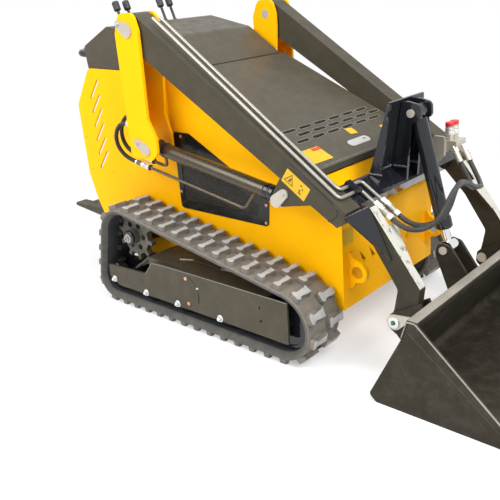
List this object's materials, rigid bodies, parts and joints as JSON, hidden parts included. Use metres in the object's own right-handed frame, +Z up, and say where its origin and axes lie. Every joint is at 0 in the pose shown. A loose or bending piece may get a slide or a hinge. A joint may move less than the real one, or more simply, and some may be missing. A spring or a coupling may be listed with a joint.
{
  "type": "stand-on mini track loader",
  "caption": "Compact walk-behind loader on rubber tracks with twin lift arms, a front bucket, a sloping engine hood and a rear standing platform.",
  "frame": {"origin": "on the ground under the middle of the whole machine, platform edge to cutting edge", "axes": "+X forward, +Y to the machine's left, +Z up"},
  "size_m": [2.35, 1.01, 1.2245],
  "materials": {
    "paint_yellow": "gloss",
    "paint_dark": "satin",
    "paint_black": "gloss",
    "rubber_track": "matte",
    "zinc": "satin",
    "steel": "satin",
    "chrome_rod": "mirror",
    "cast": "satin",
    "hose_rubber": "satin",
    "plastic_black": "matte"
  },
  "bodies": {
    "chassis": {"side_panel_right": "paint_yellow", "side_panel_left": "paint_yellow", "front_plate": "paint_yellow", "floor_plate": "paint_yellow", "rear_plate": "paint_yellow", "tie_down_plates": "paint_yellow", "boom_towers": "paint_yellow", "side_grilles": "paint_black", "engine_block": "cast", "console": "paint_dark", "control_levers": "plastic_black", "grab_bar": "paint_black", "platform": "paint_dark", "track_frames": "paint_dark", "track_covers": "paint_dark", "drive_sprockets": "cast", "drive_motors": "paint_black", "track_idlers": "paint_black", "track_rollers": "paint_black", "track_belt_right": "rubber_track", "track_belt_left": "rubber_track", "tower_pins": "zinc", "hose_bulkheads": "zinc", "lift_hose_outer_right": "hose_rubber", "lift_hose_outer_left": "hose_rubber", "lift_hose_inner_right": "hose_rubber", "lift_hose_inner_left": "hose_rubber"},
    "hood": {"engine_hood": "paint_dark"},
    "boom": {"arm_right": "paint_dark", "arm_left": "paint_dark", "cross_tube": "paint_black", "tilt_tower": "paint_black", "knees": "paint_dark", "knee_gussets": "paint_black", "hydraulic_lines": "zinc", "line_clamp": "paint_black", "coupler_block": "zinc", "boom_cylinder_pins": "zinc", "tilt_hose_outer": "hose_rubber", "tilt_hose_inner": "hose_rubber"},
    "lift_cylinder_right": {"lift_barrel_right": "paint_dark", "feed_tubes_right": "steel"},
    "lift_cylinder_left": {"lift_barrel_left": "paint_dark", "feed_tubes_left": "steel"},
    "lift_ram_right": {"lift_rod_right": "chrome_rod"},
    "lift_ram_left": {"lift_rod_left": "chrome_rod"},
    "tilt_cylinder": {"tilt_barrel": "paint_black"},
    "tilt_ram": {"tilt_rod": "chrome_rod"},
    "attachment": {"attachment_frame": "paint_dark", "bucket": "paint_dark", "cutting_edge": "steel", "attachment_pins": "zinc"}
  },
  "joints": [
    {"name": "boom_lift", "type": "hinge", "parent": "chassis", "child": "boom", "pos_m": [-0.38, 0, 1.122], "axis": [0, -1, 0], "range_deg": [0, 70]},
    {"name": "hood_open", "type": "hinge", "parent": "chassis", "child": "hood", "pos_m": [-0.28, 0, 0.9611], "axis": [0, -1, 0], "range_deg": [0, 60]},
    {"name": "bucket_tilt", "type": "hinge", "parent": "boom", "child": "attachment", "pos_m": [0.663, 0, 0.205], "axis": [0, -1, 0], "range_deg": [-95, 15]},
    {"name": "tilt_cylinder_swing", "type": "hinge", "parent": "boom", "child": "tilt_cylinder", "pos_m": [0.547, 0, 0.806], "axis": [0, -1, 0], "range_deg": [-3, 10]},
    {"name": "tilt_ram_slide", "type": "slide", "parent": "tilt_cylinder", "child": "tilt_ram", "axis": [0.2578, 0, -0.9662], "range_m": [-0.04, 0.1984]},
    {"name": "lift_cylinder_swing_right", "type": "hinge", "parent": "chassis", "child": "lift_cylinder_right", "pos_m": [-0.351, -0.385, 0.682], "axis": [0, -1, 0], "range_deg": [-1, 65]},
    {"name": "lift_ram_slide_right", "type": "slide", "parent": "lift_cylinder_right", "child": "lift_ram_right", "axis": [0.9834, 0, -0.1814], "range_m": [-0.002, 0.4925]},
    {"name": "lift_cylinder_swing_left", "type": "hinge", "parent": "chassis", "child": "lift_cylinder_left", "pos_m": [-0.351, 0.385, 0.682], "axis": [0, -1, 0], "range_deg": [-1, 65]},
    {"name": "lift_ram_slide_left", "type": "slide", "parent": "lift_cylinder_left", "child": "lift_ram_left", "axis": [0.9834, 0, -0.1814], "range_m": [-0.002, 0.4925]}
  ],
  "couplings": [
    {"joint": "tilt_cylinder_swing", "follows": "bucket_tilt", "ratio": -0.09},
    {"joint": "tilt_ram_slide", "follows": "bucket_tilt", "m_per_rad": -0.11663},
    {"joint": "lift_cylinder_swing_right", "follows": "boom_lift", "ratio": 0.8678},
    {"joint": "lift_ram_slide_right", "follows": "boom_lift", "m_per_rad": 0.399},
    {"joint": "lift_cylinder_swing_left", "follows": "boom_lift", "ratio": 0.8678},
    {"joint": "lift_ram_slide_left", "follows": "boom_lift", "m_per_rad": 0.399}
  ]
}
